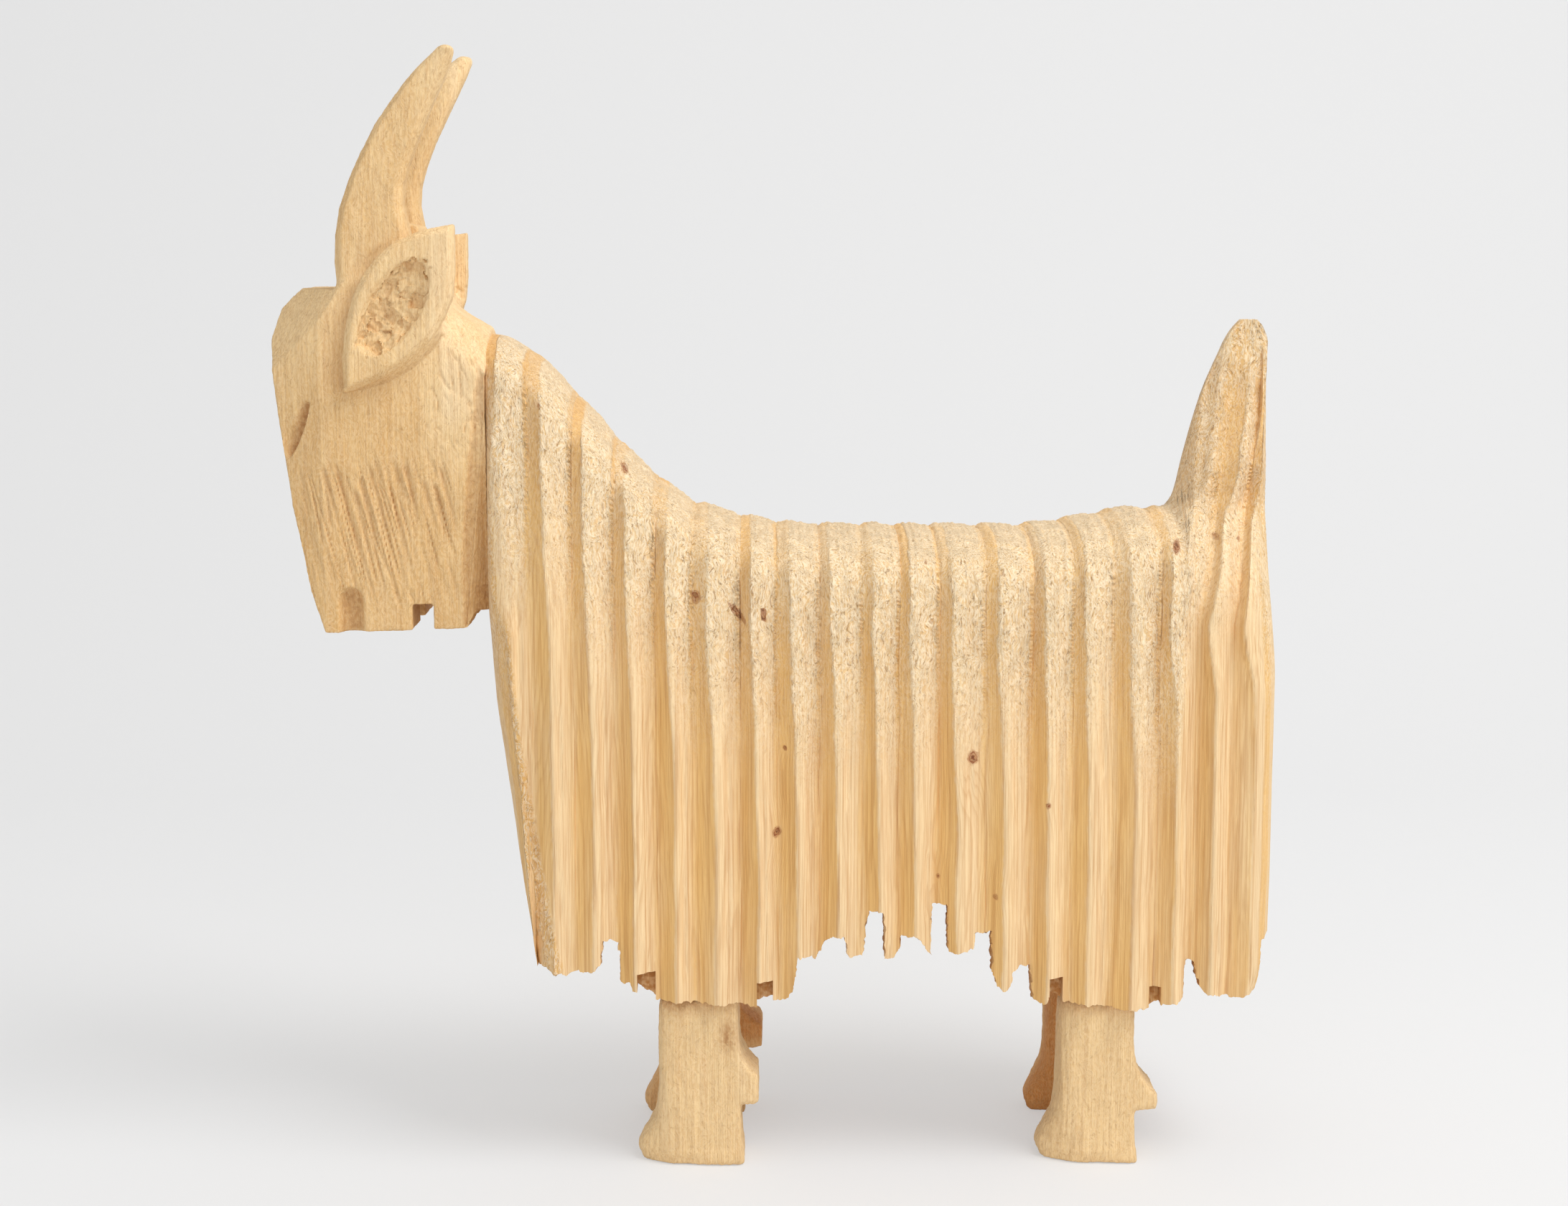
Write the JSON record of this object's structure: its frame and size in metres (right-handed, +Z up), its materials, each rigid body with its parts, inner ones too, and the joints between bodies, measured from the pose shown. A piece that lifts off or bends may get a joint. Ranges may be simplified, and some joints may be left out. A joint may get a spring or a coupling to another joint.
{
  "type": "carved wooden goat",
  "caption": "Standing carved pine goat with a ridged fleece cut into hanging locks, upright tail, swept-back horns, leaf-shaped ears and blocky hooves; a seasonal floor decoration.",
  "frame": {"origin": "on the floor, at the centre of the bounding box in X and Y", "axes": "+Z up, the goat faces -X, its left side is -Y"},
  "size_m": [0.63, 0.152, 0.7],
  "materials": {
    "fleece_pine": "raw pine, carved with a power gouge and left rough",
    "plain_pine": "raw pine, sawn and knife-cut",
    "beech_dowel": "turned and glued"
  },
  "bodies": {
    "root": {"stave_1": "fleece_pine", "stave_2": "fleece_pine", "stave_3": "fleece_pine", "stave_4": "fleece_pine", "stave_5": "fleece_pine", "stave_6": "fleece_pine", "stave_7": "fleece_pine", "stave_8": "fleece_pine", "stave_9": "fleece_pine", "head": "plain_pine", "horn_left": "plain_pine", "horn_right": "plain_pine", "ear_left": "plain_pine", "ear_right": "plain_pine", "foreleg_left": "plain_pine", "foreleg_right": "plain_pine", "hindleg_left": "plain_pine", "hindleg_right": "plain_pine", "stave_dowel_1_1": "beech_dowel", "stave_dowel_1_2": "beech_dowel", "stave_dowel_2_1": "beech_dowel", "stave_dowel_2_2": "beech_dowel", "stave_dowel_3_1": "beech_dowel", "stave_dowel_3_2": "beech_dowel", "stave_dowel_4_1": "beech_dowel", "stave_dowel_4_2": "beech_dowel", "stave_dowel_5_1": "beech_dowel", "stave_dowel_5_2": "beech_dowel", "stave_dowel_6_1": "beech_dowel", "stave_dowel_6_2": "beech_dowel", "stave_dowel_7_1": "beech_dowel", "stave_dowel_7_2": "beech_dowel", "stave_dowel_8_1": "beech_dowel", "stave_dowel_8_2": "beech_dowel", "head_dowel_1": "beech_dowel", "head_dowel_2": "beech_dowel", "foreleg_left_dowel": "beech_dowel", "foreleg_right_dowel": "beech_dowel", "hindleg_left_dowel": "beech_dowel", "hindleg_right_dowel": "beech_dowel", "horn_dowel_left": "beech_dowel", "horn_dowel_right": "beech_dowel", "ear_peg_left": "beech_dowel", "ear_peg_right": "beech_dowel"}
  },
  "joints": []
}
